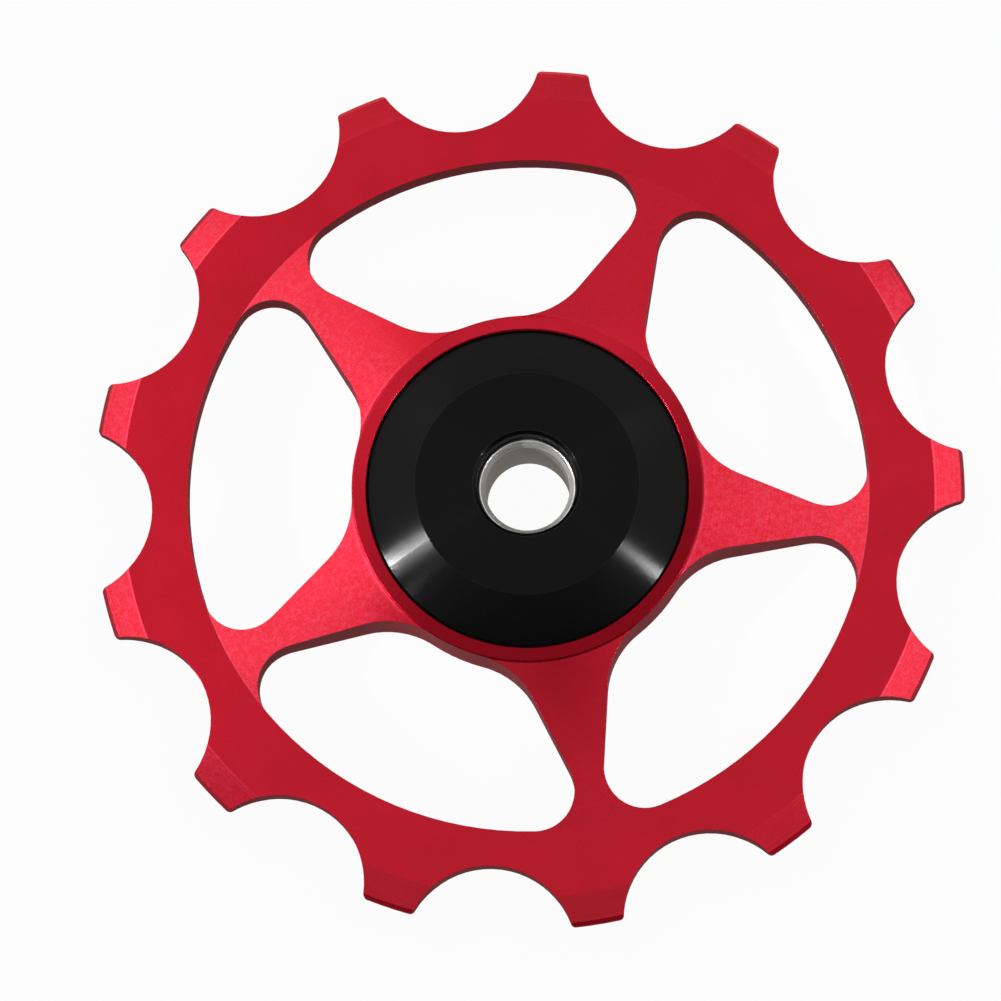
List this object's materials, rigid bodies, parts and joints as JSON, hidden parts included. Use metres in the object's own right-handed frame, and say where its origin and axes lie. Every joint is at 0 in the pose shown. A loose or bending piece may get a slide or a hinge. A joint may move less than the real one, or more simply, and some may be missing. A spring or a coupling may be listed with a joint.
{
  "type": "derailleur jockey wheel",
  "caption": "Toothed pulley wheel with tapered spokes, a sealed ball bearing and turned covers, which guides and tensions the chain on a bicycle derailleur.",
  "frame": {"origin": "centre of the axle bore, on the mid-plane of the teeth", "axes": "+Z along the axle towards the front cover, +X along a spoke and through a tooth valley"},
  "size_m": [0.0519, 0.0522, 0.0076],
  "materials": {
    "red_anodised": "satin anodised",
    "black_anodised": "satin anodised",
    "bright_alloy": "turned",
    "bearing_steel": "ground",
    "cage_nylon": "matt",
    "seal_rubber": "matt"
  },
  "bodies": {
    "fixed_core": {"centre_bush": "bright_alloy", "front_cover": "black_anodised", "rear_cover": "black_anodised", "bearing_inner_ring": "bearing_steel"},
    "wheel": {"toothed_wheel": "red_anodised", "bearing_outer_ring": "bearing_steel", "front_seal": "seal_rubber", "rear_seal": "seal_rubber"},
    "ball_cage": {"bearing_cage": "cage_nylon"},
    "ball_1": {"ball_1": "bearing_steel"},
    "ball_2": {"ball_2": "bearing_steel"},
    "ball_3": {"ball_3": "bearing_steel"},
    "ball_4": {"ball_4": "bearing_steel"},
    "ball_5": {"ball_5": "bearing_steel"},
    "ball_6": {"ball_6": "bearing_steel"},
    "ball_7": {"ball_7": "bearing_steel"},
    "ball_8": {"ball_8": "bearing_steel"},
    "ball_9": {"ball_9": "bearing_steel"},
    "ball_10": {"ball_10": "bearing_steel"},
    "ball_11": {"ball_11": "bearing_steel"}
  },
  "joints": [
    {"name": "wheel_spin", "type": "hinge", "parent": "fixed_core", "child": "wheel", "pos_m": [0, 0, 0], "axis": [0, 0, 1], "continuous": true},
    {"name": "cage_spin", "type": "hinge", "parent": "fixed_core", "child": "ball_cage", "pos_m": [0, 0, 0], "axis": [0, 0, 1], "continuous": true},
    {"name": "ball_1_roll", "type": "hinge", "parent": "ball_cage", "child": "ball_1", "pos_m": [0.0045, 0, 0], "axis": [0, 0, 1], "continuous": true},
    {"name": "ball_2_roll", "type": "hinge", "parent": "ball_cage", "child": "ball_2", "pos_m": [0.00379, 0.00243, 0], "axis": [0, 0, 1], "continuous": true},
    {"name": "ball_3_roll", "type": "hinge", "parent": "ball_cage", "child": "ball_3", "pos_m": [0.00187, 0.00409, 0], "axis": [0, 0, 1], "continuous": true},
    {"name": "ball_4_roll", "type": "hinge", "parent": "ball_cage", "child": "ball_4", "pos_m": [-0.00064, 0.00445, 0], "axis": [0, 0, 1], "continuous": true},
    {"name": "ball_5_roll", "type": "hinge", "parent": "ball_cage", "child": "ball_5", "pos_m": [-0.00295, 0.0034, 0], "axis": [0, 0, 1], "continuous": true},
    {"name": "ball_6_roll", "type": "hinge", "parent": "ball_cage", "child": "ball_6", "pos_m": [-0.00432, 0.00127, 0], "axis": [0, 0, 1], "continuous": true},
    {"name": "ball_7_roll", "type": "hinge", "parent": "ball_cage", "child": "ball_7", "pos_m": [-0.00432, -0.00127, 0], "axis": [0, 0, 1], "continuous": true},
    {"name": "ball_8_roll", "type": "hinge", "parent": "ball_cage", "child": "ball_8", "pos_m": [-0.00295, -0.0034, 0], "axis": [0, 0, 1], "continuous": true},
    {"name": "ball_9_roll", "type": "hinge", "parent": "ball_cage", "child": "ball_9", "pos_m": [-0.00064, -0.00445, 0], "axis": [0, 0, 1], "continuous": true},
    {"name": "ball_10_roll", "type": "hinge", "parent": "ball_cage", "child": "ball_10", "pos_m": [0.00187, -0.00409, 0], "axis": [0, 0, 1], "continuous": true},
    {"name": "ball_11_roll", "type": "hinge", "parent": "ball_cage", "child": "ball_11", "pos_m": [0.00379, -0.00243, 0], "axis": [0, 0, 1], "continuous": true}
  ],
  "couplings": [
    {"joint": "cage_spin", "follows": "wheel_spin", "ratio": 0.58833},
    {"joint": "ball_1_roll", "follows": "wheel_spin", "ratio": 2.7419},
    {"joint": "ball_2_roll", "follows": "wheel_spin", "ratio": 2.7419},
    {"joint": "ball_3_roll", "follows": "wheel_spin", "ratio": 2.7419},
    {"joint": "ball_4_roll", "follows": "wheel_spin", "ratio": 2.7419},
    {"joint": "ball_5_roll", "follows": "wheel_spin", "ratio": 2.7419},
    {"joint": "ball_6_roll", "follows": "wheel_spin", "ratio": 2.7419},
    {"joint": "ball_7_roll", "follows": "wheel_spin", "ratio": 2.7419},
    {"joint": "ball_8_roll", "follows": "wheel_spin", "ratio": 2.7419},
    {"joint": "ball_9_roll", "follows": "wheel_spin", "ratio": 2.7419},
    {"joint": "ball_10_roll", "follows": "wheel_spin", "ratio": 2.7419},
    {"joint": "ball_11_roll", "follows": "wheel_spin", "ratio": 2.7419}
  ]
}
